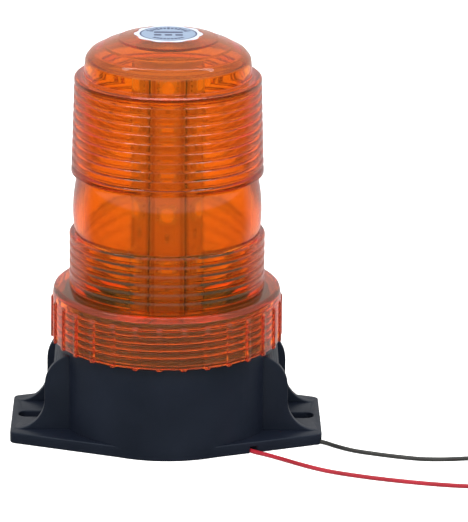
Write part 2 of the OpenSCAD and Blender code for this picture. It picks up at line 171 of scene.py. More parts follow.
class Shader:
    """A material with a Principled shader, and short ways to add nodes to it."""

    def __init__(self, name, colour, rough, **sockets):
        self.material = bpy.data.materials.new(name)
        self.material.use_nodes = True
        self.tree = self.material.node_tree
        self.main = self.tree.nodes["Principled BSDF"]
        self.main.inputs["Base Color"].default_value = (*colour, 1)
        self.main.inputs["Roughness"].default_value = rough
        for socket, value in sockets.items():
            self.main.inputs[socket.replace("_", " ")].default_value = value

    def add(self, kind, inputs=None, **settings):
        node = self.tree.nodes.new(kind)
        for key, value in settings.items():
            setattr(node, key, value)
        for socket, value in (inputs or {}).items():
            if hasattr(value, "is_output"):
                self.tree.links.new(value, node.inputs[socket])
            else:
                node.inputs[socket].default_value = value
        return node

    def link(self, out, socket):
        self.tree.links.new(out, self.main.inputs[socket])

    def place(self):
        return self.add("ShaderNodeTexCoord").outputs["Object"]

    def radius(self):
        """Distance from the object's Z axis."""
        flat = self.add("ShaderNodeVectorMath", {0: self.place(), 1: (1, 1, 0)}, operation="MULTIPLY")
        return self.add("ShaderNodeVectorMath", {0: flat.outputs["Vector"]},
                        operation="LENGTH").outputs["Value"]

    def noise(self, scale, detail):
        node = self.add("ShaderNodeTexNoise", {"Scale": scale, "Detail": detail, "Roughness": 0.5})
        self.tree.links.new(self.place(), node.inputs["Vector"])
        return node.outputs["Fac"]

    def ramp(self, fac, stops):
        node = self.add("ShaderNodeValToRGB", {"Fac": fac})
        ramp = node.color_ramp
        while len(ramp.elements) < len(stops):
            ramp.elements.new(0.5)
        for element, (at, colour) in zip(ramp.elements, stops):
            element.position = at
            element.color = (*colour, 1)
        return node.outputs["Color"]

    def spread(self, fac, low, high):
        return self.blend(fac, 0, 1, low, high)

    def blend(self, value, start, end, low, high):
        """low up to start, high from end on, and a straight blend between them."""
        node = self.add("ShaderNodeMapRange", {"Value": value, "From Min": start, "From Max": end,
                                               "To Min": low, "To Max": high})
        return node.outputs["Result"]

    def math(self, operation, a, b):
        return self.add("ShaderNodeMath", {0: a, 1: b}, operation=operation).outputs["Value"]

    def bump(self, height, distance, strength):
        node = self.add("ShaderNodeBump", {"Height": height, "Distance": distance, "Strength": strength})
        self.link(node.outputs["Normal"], "Normal")


AMBER_TINT = (0.74, 0.45, 0.06)
SKIRT_TINT = (1.0, 0.42, 0.1)
DEPTH_TINT = (0.97, 0.69, 0.05, 1)
DEPTH_DENSITY = 700.0
CLEARNESS = 0.97
SKIRT_CLEARNESS = 0.965
SKIRT_COAT = 0.35
INNER_HAZE = 0.12
GRIP_HAZE = 0.14
# Where one finish turns into the next: radii, and for the cap a height.
INNER_WALL = (26.9 * MM, 27.05 * MM)
CAP_START = (111 * MM, 111.5 * MM)
SKIRT_START = (34.5 * MM, 34.7 * MM)
GRIP_START = (35.05 * MM, 35.2 * MM)


def amber_material():
    """Clear amber polycarbonate, tinted at its skin and more with depth.

    The skirt is redder and a little milky. The inner wall and the grip ribs are the least polished.
    """
    s = Shader("amber_polycarbonate", AMBER_TINT, 0.035, IOR=1.5, Transmission_Weight=CLEARNESS,
               Coat_Roughness=0.6)
    absorb = s.add("ShaderNodeVolumeAbsorption", {"Color": DEPTH_TINT, "Density": DEPTH_DENSITY})
    s.tree.links.new(absorb.outputs["Volume"], s.tree.nodes["Material Output"].inputs["Volume"])
    radius = s.radius()
    height = s.add("ShaderNodeSeparateXYZ", {0: s.place()}).outputs["Z"]
    inside = s.blend(radius, *INNER_WALL, INNER_HAZE, 0)
    below_cap = s.blend(height, *CAP_START, 1, 0)
    grips = s.blend(radius, *GRIP_START, 0, GRIP_HAZE)
    polish = s.math("ADD", s.spread(s.noise(180, 3), 0.02, 0.06), s.math("MULTIPLY", inside, below_cap))
    s.link(s.math("ADD", polish, grips), "Roughness")
    skirt = s.blend(radius, *SKIRT_START, 0, 1)
    s.link(s.ramp(skirt, [(0, AMBER_TINT), (1, SKIRT_TINT)]), "Base Color")
    s.link(s.spread(skirt, CLEARNESS, SKIRT_CLEARNESS), "Transmission Weight")
    s.link(s.spread(skirt, 0, SKIRT_COAT), "Coat Weight")
    return s.material


def base_material():
    """Black ABS with a faint blue cast and the fine grain of a moulded part."""
    s = Shader("black_abs", (0.007, 0.01, 0.018), 0.42, Specular_IOR_Level=0.34,
               Specular_Tint=(0.78, 0.9, 1.0, 1))
    s.link(s.ramp(s.noise(60, 3), [(0.3, (0.004, 0.006, 0.012)), (0.75, (0.0065, 0.009, 0.017))]),
           "Base Color")
    s.link(s.spread(s.noise(350, 4), 0.38, 0.52), "Roughness")
    s.bump(s.noise(2600, 2), 0.00004, 0.35)
    return s.material


def lead_material(name, dark, light):
    """Soft PVC insulation with a fine, uneven skin."""
    s = Shader(name, light, 0.4, Specular_IOR_Level=0.4)
    s.link(s.ramp(s.noise(120, 2), [(0.25, dark), (0.8, light)]), "Base Color")
    s.link(s.spread(s.noise(500, 2), 0.34, 0.5), "Roughness")
    s.bump(s.noise(1500, 2), 0.00003, 0.4)
    return s.material


def board_material():
    """Pale solder mask, warm in colour."""
    s = Shader("pale_solder_mask", (0.92, 0.76, 0.6), 0.35)
    s.link(s.ramp(s.noise(90, 3), [(0.3, (0.89, 0.72, 0.55)), (0.7, (0.95, 0.8, 0.65))]), "Base Color")
    s.link(s.spread(s.noise(300, 2), 0.3, 0.42), "Roughness")
    return s.material


def led_material():
    s = Shader("led_housing", (0.95, 0.94, 0.9), 0.3)
    s.link(s.ramp(s.noise(400, 2), [(0.3, (0.92, 0.91, 0.86)), (0.7, (0.97, 0.96, 0.93))]), "Base Color")
    return s.material


def glowing_phosphor_material():
    """Yellow phosphor with a painted glow: it gives off a little light of its own though the LED is off."""
    s = Shader("led_phosphor_painted_glow", (0.9, 0.55, 0.08), 0.25, Emission_Color=(1.0, 0.7, 0.15, 1),
               Emission_Strength=0.35)
    s.link(s.ramp(s.noise(900, 2), [(0.3, (0.85, 0.48, 0.05)), (0.7, (0.95, 0.62, 0.12))]), "Base Color")
    return s.material


def track_material():
    """Copper lanes under the pale solder mask."""
    s = Shader("masked_copper", (0.62, 0.4, 0.24), 0.4)
    s.link(s.ramp(s.noise(200, 2), [(0.3, (0.57, 0.35, 0.2)), (0.7, (0.67, 0.45, 0.28))]), "Base Color")
    s.link(s.spread(s.noise(500, 2), 0.32, 0.48), "Roughness")
    return s.material


def edge_material():
    """A dark colour for thin bands along the long edges of each strip's face."""
    s = Shader("dark_strip_edge", (0.03, 0.018, 0.012), 0.8)
    s.link(s.ramp(s.noise(900, 3), [(0.3, (0.02, 0.012, 0.008)), (0.7, (0.045, 0.028, 0.018))]),
           "Base Color")
    return s.material


def sticker_material():
    """Printed film: a white rim, a thin navy ring and a blue-grey middle."""
    s = Shader("printed_film", (0.6, 0.68, 0.8), 0.35)
    share = s.blend(s.radius(), 0, STICKER_R * MM, 0, 1)
    middle, navy, rim = (0.2, 0.27, 0.38), (0.02, 0.03, 0.09), (0.5, 0.56, 0.66)
    s.link(s.ramp(share, [(0.0, middle), (0.81, middle), (0.82, navy), (0.86, navy), (0.87, rim),
                          (1.0, rim)]), "Base Color")
    s.link(s.spread(s.noise(400, 3), 0.28, 0.42), "Roughness")
    s.bump(s.noise(900, 2), 0.00002, 0.3)
    return s.material


def green_board_material():
    s = Shader("green_solder_mask", (0.014, 0.06, 0.03), 0.35)
    s.link(s.ramp(s.noise(120, 3), [(0.35, (0.011, 0.05, 0.025)), (0.65, (0.018, 0.075, 0.038))]),
           "Base Color")
    return s.material


def metal_material(name, colour, low, high):
    """Bare metal whose roughness varies from low to high."""
    s = Shader(name, colour, 0.3, Metallic=1.0)
    s.link(s.spread(s.noise(700, 3), low, high), "Roughness")
    s.bump(s.noise(1800, 2), 0.00002, 0.4)
    return s.material


def plastic_material(name, colour, low, high):
    """Moulded plastic, glaze or rubber whose roughness varies from low to high."""
    s = Shader(name, colour, 0.4)
    darker = tuple(c * 0.82 for c in colour)
    s.link(s.ramp(s.noise(300, 3), [(0.3, darker), (0.7, colour)]), "Base Color")
    s.link(s.spread(s.noise(600, 2), low, high), "Roughness")
    s.bump(s.noise(2200, 2), 0.00002, 0.3)
    return s.material


STICKER_R = 10.0
AMBER = amber_material()
ABS = base_material()
MATERIALS = {
    "base_plastic": ABS,
    "amber_lens": AMBER,
    "seal_rubber": plastic_material("black_rubber", (0.02, 0.02, 0.02), 0.6, 0.8),
    "sticker": sticker_material(),
    "strip_board": board_material(),
    "led_package": led_material(),
    "green_board": green_board_material(),
    "zinc_steel": metal_material("zinc_plate", (0.7, 0.71, 0.73), 0.22, 0.38),
    "solder": metal_material("solder_metal", (0.72, 0.73, 0.75), 0.2, 0.35),
    "capacitor_black": plastic_material("black_sleeve", (0.03, 0.03, 0.04), 0.25, 0.35),
    "capacitor_blue": plastic_material("blue_sleeve", (0.02, 0.06, 0.25), 0.25, 0.35),
    "ferrite": plastic_material("ferrite_core", (0.06, 0.06, 0.065), 0.5, 0.7),
    "chip_black": plastic_material("chip_epoxy", (0.02, 0.02, 0.022), 0.45, 0.6),
    "resistor_black": plastic_material("resistor_glaze", (0.03, 0.03, 0.035), 0.3, 0.4),
    "ceramic_tan": plastic_material("capacitor_ceramic", (0.4, 0.26, 0.15), 0.4, 0.5),
    "red_pvc": lead_material("red_insulation", (0.22, 0.006, 0.013), (0.32, 0.012, 0.025)),
    "black_pvc": lead_material("black_insulation", (0.016, 0.016, 0.015), (0.035, 0.035, 0.032)),
    "tinned_copper": metal_material("tinned_strands", (0.75, 0.73, 0.7), 0.25, 0.4),
}


def dress(piece, material):
    """Puts one material on every slot of a piece."""
    if not piece.material_slots:
        piece.data.materials.append(material)
    for slot in piece.material_slots:
        slot.material = material


for part in frame["record"]["subparts"]:
    dress(nodes[part["node"]], MATERIALS[part["material_slot"]])
for colour, wire in leads.items():
    dress(wire, MATERIALS[f"{colour}_pvc"])

# ---------------------------------------------------------------- mesh helpers


CORNER_STEPS = 3
WELD = 0.5e-6
CUT_WELD = 2e-6
CUT_SLIVER = 1e-6


def rounded(points):
    """Turns (r, z, radius) corners into a smooth outline of (r, z)."""
    out = []
    last = len(points) - 1
    for i, (r, z, radius) in enumerate(points):
        here = Vector((r, z))
        if radius == 0 or i in (0, last):
            out.append(here)
            continue
        before = Vector(points[i - 1][:2]) - here
        after = Vector(points[i + 1][:2]) - here
        turn = before.angle(after)
        cut = min(radius / math.tan(turn / 2), 0.46 * before.length, 0.46 * after.length)
        a = here + before.normalized() * cut
        b = here + after.normalized() * cut
        for k in range(CORNER_STEPS + 1):
            t = k / CORNER_STEPS
            out.append((1 - t) ** 2 * a + 2 * t * (1 - t) * here + t * t * b)
    return [tuple(q) for q in out]


def sharpen(piece, smooth_below=30):
    """Shades a piece smooth except at edges sharper than smooth_below degrees."""
    bm = bmesh.new()
    bm.from_mesh(piece.data)
    limit = math.radians(smooth_below)
    for face in bm.faces:
        face.smooth = True
    for edge in bm.edges:
        edge.smooth = len(edge.link_faces) == 2 and edge.calc_face_angle(0) < limit
    bm.to_mesh(piece.data)
    bm.free()


def solid_mesh(name, verts, faces):
    """A mesh from millimetre points, welded, with its faces turned outward."""
    mesh = bpy.data.meshes.new(name)
    mesh.from_pydata([tuple(c * MM for c in v) for v in verts], [], faces)
    bm = bmesh.new()
    bm.from_mesh(mesh)
    bmesh.ops.remove_doubles(bm, verts=bm.verts, dist=WELD)
    bmesh.ops.recalc_face_normals(bm, faces=bm.faces)
    bm.to_mesh(mesh)
    bm.free()
    return mesh


def make_piece(name, verts, faces, material, body, slot, smooth_below=30):
    """A mesh object that rides a body, shaded smooth except at edges sharper than smooth_below."""
    mesh = solid_mesh(name, verts, faces)
    piece = bpy.data.objects.new(name, mesh)
    sharpen(piece, smooth_below)
    bpy.context.scene.collection.objects.link(piece)
    mesh.materials.append(material)
    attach(piece, body)
    return piece


def revolve(outline, angles, shape=None):
    """Turns an outline about Z. shape(row, angle, r, z) may move a point. Returns points and faces."""
    verts, faces, rows = [], [], []
    for row, (r, z) in enumerate(outline):
        if r < 1e-6:
            rows.append([len(verts)] * len(angles))
            verts.append((0, 0, z))
            continue
        start = len(verts)
        for a in angles:
            rr, zz = shape(row, a, r, z) if shape else (r, z)
            verts.append((rr * math.cos(a), rr * math.sin(a), zz))
        rows.append(list(range(start, start + len(angles))))
    n = len(angles)
    for low, high in zip(rows, rows[1:]):
        for k in range(n):
            face = [low[k], low[(k + 1) % n], high[(k + 1) % n], high[k]]
            face = [v for j, v in enumerate(face) if v != face[j - 1]]
            if len(face) > 2:
                faces.append(face)
    return verts, faces


def join(solids):
    """Several solids' points and faces as one."""
    verts, faces = [], []
    for v, f in solids:
        faces += [tuple(i + len(verts) for i in face) for face in f]
        verts += v
    return verts, faces


# ---------------------------------------------------------------- lens

LEAD = 2.2
THREAD_Z = 32.4
NECK_R = 31.2
THREAD_H = 1.4
THREAD_GAP = 0.4
THREAD_ROWS = (-1.1, -0.6, -0.5, -0.3, -0.2, -0.1, 0.1, 0.2, 0.3, 0.5, 0.6)
LENS_THREAD = (31.0, 43.55)
LENS_TURNS = (-0.75, 4.2)
NECK_TURNS = (-0.3, 3.9)
RIDGE_HALF = 0.52
RIDGE_FLANK = 0.36
RIDGE_FADE = 0.1
DOME_TOP = 124.2
CAP_R = 25.2
CAP_Z0 = 111.9
CAP_Z1 = 117.5
UPPER_RIBS = 11
UPPER_Z0 = 81.4
UPPER_R0 = 29.2
UPPER_R1 = 28.2
BAND_Z0 = 63.2
BAND_R = (27.2, 28.6, 28.1)
LOWER_RIBS = 6
LOWER_Z0 = 46.2
LOWER_R = 29.75
SKIRT_R = 34.85
SKIRT_Z0 = 29.8
SKIRT_IN = NECK_R + THREAD_H + THREAD_GAP
SHOULDER_UNDER = 43.8
LENS_BORE = 27.0
BAND_IN = 25.6
GRIPS = 30
GRIP_OUT = 0.5
GRIP_PHASE = math.radians(266.5)
GRIP_TOP = 42.6


def thread_height(angle, z, z0, first, last):
    """Share of full height, 0 to 1, of a helical ridge that passes height z0 at angle 0.

    It runs from turn first to turn last and fades out at both ends.
    """
    turn = (angle % (2 * math.pi)) / (2 * math.pi)
    t = round((z - z0) / LEAD - turn) + turn
    if not first <= t <= last:
        return 0.0
    side = min(1.0, max(0.0, (RIDGE_HALF - abs(z - z0 - LEAD * t)) / RIDGE_FLANK))
    return side * min(1.0, (t - first) / RIDGE_FADE, (last - t) / RIDGE_FADE)


def threaded_wall(radius, height, low, high, ridge, first, last, angles):
    """A round wall from low to high, with a helical ridge that its rows follow.

    angles run from 0 up to 2 pi. Rows that would pass low or high end on them.
    """
    lines = len(THREAD_ROWS)
    count = len(angles)
    turns = range(math.floor((low - ridge) / LEAD) - 1, math.ceil((high - ridge) / LEAD) + 2)
    verts = []
    for turn in turns:
        for offset in THREAD_ROWS:
            for a in angles:
                z = min(high, max(low, ridge + LEAD * (turn + a / (2 * math.pi)) + offset))
                r = radius
                if low < z < high:
                    r += height * thread_height(a, z, ridge, first, last)
                verts.append((r * math.cos(a), r * math.sin(a), z))
    rows = len(turns) * lines
    faces = []
    for row in range(rows - 1):
        for k in range(count):
            after, step = ((row, k + 1) if k < count - 1 else (row + lines, 0))
            if after + 1 >= rows:
                continue
            face = (row * count + k, after * count + step, (after + 1) * count + step,
                    (row + 1) * count + k)
            if len({verts[v][2] for v in face}) > 1:
                faces.append(face)
    return verts, faces


def rib_points(r0, r1, z, pitch, depth, soft):
    """The four corners of one rib whose top is at z."""
    return [
        (r0 - depth, z - 0.06 * pitch, soft), (r0, z - 0.26 * pitch, soft),
        (r1, z - 0.76 * pitch, soft), (r1 - depth, z - 0.97 * pitch, soft),
    ]


def lens_outline():
    """The outside from the top down, the role of each of its points, and the inside from below up."""
    out = [(0, DOME_TOP, 0), (10.6, DOME_TOP, 3), (14.9, DOME_TOP - 1.0, 0.9), (15.5, DOME_TOP - 1.35, 0.7),
           (19.4, DOME_TOP - 2.9, 0.9), (20.1, DOME_TOP - 3.35, 0.8), (23.3, DOME_TOP - 5.0, 2.5),
           (CAP_R - 0.3, CAP_Z1 - 0.2, 2.5), (CAP_R, CAP_Z1 - 3, 0), (CAP_R + 0.1, CAP_Z0, 0.3)]
    pitch = (CAP_Z0 - UPPER_Z0) / UPPER_RIBS
    for k in range(UPPER_RIBS):
        r0, r1 = (UPPER_R1 + (UPPER_R0 - UPPER_R1) * j / UPPER_RIBS for j in (k, k + 1))
        out += rib_points(r0, r1, CAP_Z0 - k * pitch, pitch, 0.7, 0.22)
    out.append((BAND_R[0], UPPER_Z0, 0.15))
    top, mid, low = BAND_R
    for i in range(1, 14):
        t = i / 14
        r = top * (1 - t) * (1 - 2 * t) + mid * 4 * t * (1 - t) + low * t * (2 * t - 1)
        out.append((r, UPPER_Z0 + (BAND_Z0 - UPPER_Z0) * t, 0))
    out.append((low, BAND_Z0, 0.15))
    pitch = (BAND_Z0 - LOWER_Z0) / LOWER_RIBS
    for k in range(LOWER_RIBS):
        out += rib_points(LOWER_R, LOWER_R, BAND_Z0 - k * pitch, pitch, 0.45, 0.2)
    out += [(LOWER_R - 0.2, LOWER_Z0, 0.3), (SKIRT_R - 0.4, LOWER_Z0 - 0.25, 2.4), (SKIRT_R, 43.2, 0.6)]
    skirt = [(SKIRT_R, GRIP_TOP + 0.15, 0), (SKIRT_R, GRIP_TOP - 0.2, 0), (SKIRT_R, GRIP_TOP - 0.6, 0),
             (SKIRT_R + 0.05, 36, 0), (SKIRT_R + 0.1, 30.2, 0), (SKIRT_R + 0.02, 29.9, 0),
             (SKIRT_R - 0.15, SKIRT_Z0, 0)]
    bottom = [(SKIRT_IN + 0.35, SKIRT_Z0, 0.15), (SKIRT_IN, SKIRT_Z0 + 0.35, 0.1),
              (SKIRT_IN, SKIRT_Z0 + 0.55, 0.08), (SKIRT_IN - 0.22, SKIRT_Z0 + 0.8, 0.1),
              (SKIRT_IN, SKIRT_Z0 + 1.05, 0.08)]
    low, high = LENS_THREAD
    bottom.append((SKIRT_IN, low, 0))
    inner = [(SKIRT_IN, high, 0), (SKIRT_IN, SHOULDER_UNDER, 0.2), (LENS_BORE, SHOULDER_UNDER, 0.4),
             (LENS_BORE, LOWER_Z0 - 0.6, 0.2)]
    for k in range(LOWER_RIBS - 1, -1, -1):
        z = BAND_Z0 - k * pitch
        inner += [(27.2, z - 0.85 * pitch, 0.2), (26.6, z - 0.2 * pitch, 0.2)]
    inner.append((BAND_IN, BAND_Z0 + 0.6, 0.3))
    for i in range(11, 0, -1):
        t = i / 12
        inner.append((BAND_IN + 1.6 * t * (1 - t), UPPER_Z0 - 0.6 + (BAND_Z0 - UPPER_Z0 + 1.2) * t, 0))
    inner += [(BAND_IN, UPPER_Z0 - 0.6, 0.3), (26.4, UPPER_Z0 + 1, 0.4), (25.8, CAP_Z0 - 2.2, 0.6),
              (CAP_R - 2, CAP_Z0 - 1.4, 0.4), (CAP_R - 2, CAP_Z1 - 1.4, 0.8), (21.6, DOME_TOP - 6.9, 1.0),
              (18.6, DOME_TOP - 4.9, 1.0), (14, DOME_TOP - 3, 1.0), (9, DOME_TOP - 2, 2.0),
              (0, DOME_TOP - 2, 0)]
    outline, roles = [], []
    for role, group in (("plain", out), ("grip", skirt), ("plain", bottom)):
        points = rounded(group) if role == "plain" else [p[:2] for p in group]
        outline += points
        roles += [role] * len(points)
    return outline, roles, rounded(inner)


def grip_angles():
    """Columns round the lens, closer together at the flanks of each grip rib."""
    marks = [-3.65, -2.4, -1.15, -0.98, -0.82, -0.6, 0.6, 0.82, 0.98, 1.15, 2.4]
    return sorted((GRIP_PHASE + 2 * math.pi * g / GRIPS + m / SKIRT_R) % (2 * math.pi)
                  for g in range(GRIPS) for m in marks)


def grip_height(angle):
    """Share of full height, 0 to 1, of the nearest grip rib."""
    period = 2 * math.pi / GRIPS
    off = abs((angle - GRIP_PHASE + period / 2) % period - period / 2) * SKIRT_R
    return min(1.0, max(0.0, (1.0 - off) / 0.36))


def build_lens():
    outline, roles, inside = lens_outline()

    def shape(row, angle, r, z):
        if roles[row] == "grip":
            g = grip_height(angle) * min(1.0, max(0.0, (GRIP_TOP + 0.15 - z) / 0.6))
            low = 1.0 if z < SKIRT_Z0 + 0.5 else 0.0
            inward = 0.0 if z > SKIRT_Z0 + 0.05 else 0.15
            return r + g * (GRIP_OUT - inward), z - 0.4 * g * low
        return r, z

    angles = grip_angles()
    thread = threaded_wall(SKIRT_IN, -THREAD_H, *LENS_THREAD, THREAD_Z + LEAD / 2, *LENS_TURNS, angles)
    shell = join([revolve(outline, angles, shape), thread, revolve(inside, angles)])
    lens = make_piece("amber_lens_shell", *shell, AMBER, "lens", "amber_lens", 50)
    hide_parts("lens")


build_lens()

# ---------------------------------------------------------------- base

EAR_SPAN = 95.0
EAR_W = 35.2
EAR_CORNER = 2.2
PLATE_T = 3.5
DRUM_R = 32.6
DRUM_H = 31.0
NECK_TOP = 41.8
BOWL_R = 28.6
CAVITY_R = 29.5
FLOOR_Z = 5.5
FLOOR_TOP = 8.0
SLOT_SPACING = 80.0
SLOT_W = 5.2
SLOT_L = 11.0
GUSSET_Y = 14.1
GUSSET_T = 2.5
GUSSET_X = 37.0
GUSSET_C = (26.8, 17.4)
HOOD_X = 34.2
HOOD_T = 2.4
GROOVE_H = 2.2
GROOVES = [((19, -17.5), (30, -28)), ((26, -11), (48.5, -16))]
GROOVE_W = 2.4
RIM_MID = 31
POST_PLACE = 24.5


def arc(cx, cy, r, a0, a1, n):
    """n steps along a circle from angle a0 to a1."""
    return [(cx + r * math.cos(a0 + (a1 - a0) * i / n), cy + r * math.sin(a0 + (a1 - a0) * i / n))
            for i in range(n + 1)]


def slab(loops, low, high, edge):
    """Points and faces of a flat solid with outlines in XY and rounded edges, from low to high."""
    curve = bpy.data.curves.new("slab", "CURVE")
    curve.dimensions = "2D"
    curve.fill_mode = "BOTH"
    curve.extrude = (high - low) / 2 - edge
    curve.bevel_depth = edge
    curve.bevel_resolution = 2
    curve.offset = -edge
    for loop in loops:
        spline = curve.splines.new("POLY")
        spline.use_cyclic_u = True
        spline.points.add(len(loop) - 1)
        for point, (x, y) in zip(spline.points, loop):
            point.co = (x, y, 0, 1)
    shape = bpy.data.objects.new("slab", curve)
    mesh = bpy.data.meshes.new_from_object(shape)
    verts = [(v.co.x, v.co.y, v.co.z + (low + high) / 2) for v in mesh.vertices]
    faces = [tuple(p.vertices) for p in mesh.polygons]
    bpy.data.objects.remove(shape)
    bpy.data.meshes.remove(mesh)
    return verts, faces


def placed(solid, move):
    """A solid with every point put through move."""
    verts, faces = solid
    return [move(*v) for v in verts], faces


def plate_solid():
    """The base plate with its two slotted ears, open in the middle."""
    cx, cy = EAR_SPAN / 2 - EAR_CORNER, EAR_W / 2 - EAR_CORNER
    r = DRUM_R - 0.15
    tangent = math.atan2(cy, cx) + math.acos((r - EAR_CORNER) / math.hypot(cx, cy))
    corner = arc(cx, cy, EAR_CORNER, 0, tangent, 8)
    half = corner + arc(0, 0, r, tangent, math.pi - tangent, 48) + [(-x, y) for x, y in corner[::-1]]
    outline = half + [(x, -y) for x, y in half[::-1]]
    loops = [outline, arc(0, 0, DRUM_R - 1.5, 0, 2 * math.pi, 96)[:-1]]
    run = (SLOT_L - SLOT_W) / 2
    for s in (-1, 1):
        x = s * SLOT_SPACING / 2
        loops.append(arc(x + run, 0, SLOT_W / 2, -math.pi / 2, math.pi / 2, 12)
                     + arc(x - run, 0, SLOT_W / 2, math.pi / 2, 1.5 * math.pi, 12))
    return slab(loops, 0, PLATE_T, 0.35)


def gusset_solids():
    """Four curved gussets, and the hood that joins each pair's tops."""
    cx, cz = GUSSET_C
    r = GUSSET_X - cx
    sweep = EAR_SPAN / 2 - GUSSET_X - 1.1
    side = ([(28.3, 1), (28.3, 27.0)] + arc(cx, cz, r, math.radians(75), 0, 16)
            + arc(GUSSET_X + sweep, PLATE_T + sweep, sweep, math.pi, 1.5 * math.pi, 16)
            + [(GUSSET_X + sweep, 1)])
    flat = slab([side], 0, GUSSET_T, 0.3)
    top = arc(cx, cz, r, math.radians(75), math.acos((HOOD_X - cx) / r), 8)
    web = slab([top + [(x, z - HOOD_T) for x, z in top[::-1]]], 1 - GUSSET_Y, GUSSET_Y - 1, 0.25)
    solids = []
    for sx in (-1, 1):
        for sy in (-1, 1):
            solids.append(placed(flat, lambda x, z, t: (sx * x, sy * (GUSSET_Y - t), z)))
        solids.append(placed(web, lambda x, z, t: (sx * x, t, z)))
    return solids


def drum_solid():
    """The drum, its threaded neck, the bowl for the driver and the hollow underside."""
    low, high = DRUM_H + 0.15, NECK_TOP - 0.4
    bowl = [(0, FLOOR_TOP, 0), (BOWL_R, FLOOR_TOP, 1.2), (BOWL_R, NECK_TOP, 0.3),
            (NECK_R, NECK_TOP, 0.35), (NECK_R, high, 0)]
    groups = [
        ("plain", [(NECK_R, low, 0), (NECK_R, DRUM_H, 0.1), (DRUM_R, DRUM_H, 0.6), (DRUM_R, 20, 0),
                   (DRUM_R, 8, 0)]),
        ("rim", rounded([(DRUM_R, 5, 0), (DRUM_R, 0, 0.35), (CAVITY_R, 0, 0.2), (CAVITY_R, 4.5, 0)])),
        ("plain", [(CAVITY_R, 4.6, 0), (CAVITY_R, FLOOR_Z, 0.5), (0, FLOOR_Z, 0)]),
    ]
    outline, roles = [], []
    for role, group in groups:
        points = rounded(group) if role == "plain" else [p[:2] for p in group]
        outline += points
        roles += [role] * len(points)
    notches = []
    for a, b in GROOVES:
        t = (RIM_MID - math.hypot(*a)) / (math.hypot(*b) - math.hypot(*a))
        x, y = a[0] + (b[0] - a[0]) * t, a[1] + (b[1] - a[1]) * t
        notches.append(math.atan2(y, x) % (2 * math.pi))
    half = (GROOVE_W + 0.1) / 2 / RIM_MID
    columns = [2 * math.pi * k / 180 for k in range(180)]
    columns = [c for c in columns if all(abs(c - n) > half + 0.012 for n in notches)]
    columns += [n + s * (half + e) for n in notches for s in (-1, 1) for e in (0, 0.001)]
    columns.sort()

    def shape(row, angle, r, z):
        if roles[row] == "rim" and any(abs(angle - n) < half + 0.0005 for n in notches):
            return r, max(z, GROOVE_H)
        return r, z

    thread = threaded_wall(NECK_R, THREAD_H, low, high, THREAD_Z, *NECK_TURNS, columns)
    return join([revolve(rounded(bowl), columns), thread, revolve(outline, columns, shape)])


def post_solids():
    """The three screw posts on the bowl's floor."""
    solids = []
    for a in (30, 150, 270):
        x, y = POST_PLACE * math.cos(math.radians(a)), POST_PLACE * math.sin(math.radians(a))
        outline = rounded([(0, 7, 0), (3.2, 7, 0), (3.2, 12, 0.3), (1.4, 12, 0.1), (1.4, 9, 0), (0, 9, 0)])
        ring = [2 * math.pi * k / 32 for k in range(32)]
        solids.append(placed(revolve(outline, ring), lambda px, py, pz: (px + x, py + y, pz)))
    return solids


def carve(piece, solids, operation):
    """Adds solids to a piece, or cuts them from it, so that it stays one clean skin."""
    tool = bpy.data.objects.new("tool", solid_mesh("tool", *join(solids)))
    bpy.context.scene.collection.objects.link(tool)
    step = piece.modifiers.new("carve", "BOOLEAN")
    step.operation = operation
    step.object = tool
    step.solver = "EXACT"
    done = bpy.data.meshes.new_from_object(piece.evaluated_get(bpy.context.evaluated_depsgraph_get()))
    piece.modifiers.clear()
    piece.data = done
    bpy.data.objects.remove(tool)
    bm = bmesh.new()
    bm.from_mesh(done)
    bmesh.ops.remove_doubles(bm, verts=bm.verts, dist=CUT_WELD)
    bmesh.ops.dissolve_degenerate(bm, edges=bm.edges, dist=CUT_SLIVER)
    bm.to_mesh(done)
    bm.free()
    sharpen(piece)


def groove_solids():
    """The two lead grooves in the underside, as solids to cut away."""
    boxes = []
    for a, b in GROOVES:
        way = (Vector(b) - Vector(a)).normalized()
        side = Vector((-way.y, way.x)) * GROOVE_W / 2
        end = Vector(b) + way * 2
        corners = [Vector(a) - side, end - side, end + side, Vector(a) + side]
        verts = [(c.x, c.y, z) for z in (-1, GROOVE_H) for c in corners]
        boxes.append((verts, [(3, 2, 1, 0), (4, 5, 6, 7), (0, 1, 5, 4), (1, 2, 6, 5), (2, 3, 7, 6),
                              (3, 0, 4, 7)]))
    return boxes


def build_base():
    """The whole base as one skin."""
    body = make_piece("base_body", *drum_solid(), ABS, "base", "base_plastic")
    carve(body, [plate_solid()], "UNION")
    for solid in gusset_solids() + post_solids():
        carve(body, [solid], "UNION")
    carve(body, groove_solids(), "DIFFERENCE")
    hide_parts("base_housing")


build_base()

# ---------------------------------------------------------------- lamp tower details

APOTHEM = 9.526
STRIP_HALF = 5.42
STRIP_Z = (13.7, 113.4)
LED_T = 1.6
LED_WINDOW_R = 2.0
LED_FIRST_Z = 56.7
LED_PITCH = 13.33
LEDS = 5


def block(x, z, w, h, low, high, edge):
    """A chamfered block on a strip's face, centred at x and z, from low to high off the face."""
    rings = [(w / 2, h / 2, low), (w / 2, h / 2, high - edge), (w / 2 - edge, h / 2 - edge, high)]
    verts = [(x + sx * a, -APOTHEM - y, z + sz * b)
             for a, b, y in rings for sx, sz in ((-1, -1), (1, -1), (1, 1), (-1, 1))]
    faces = [(3, 2, 1, 0), (8, 9, 10, 11)]
    faces += [(4 * r + k, 4 * r + (k + 1) % 4, 4 * r + 4 + (k + 1) % 4, 4 * r + 4 + k)
              for r in (0, 1) for k in range(4)]
    return verts, faces


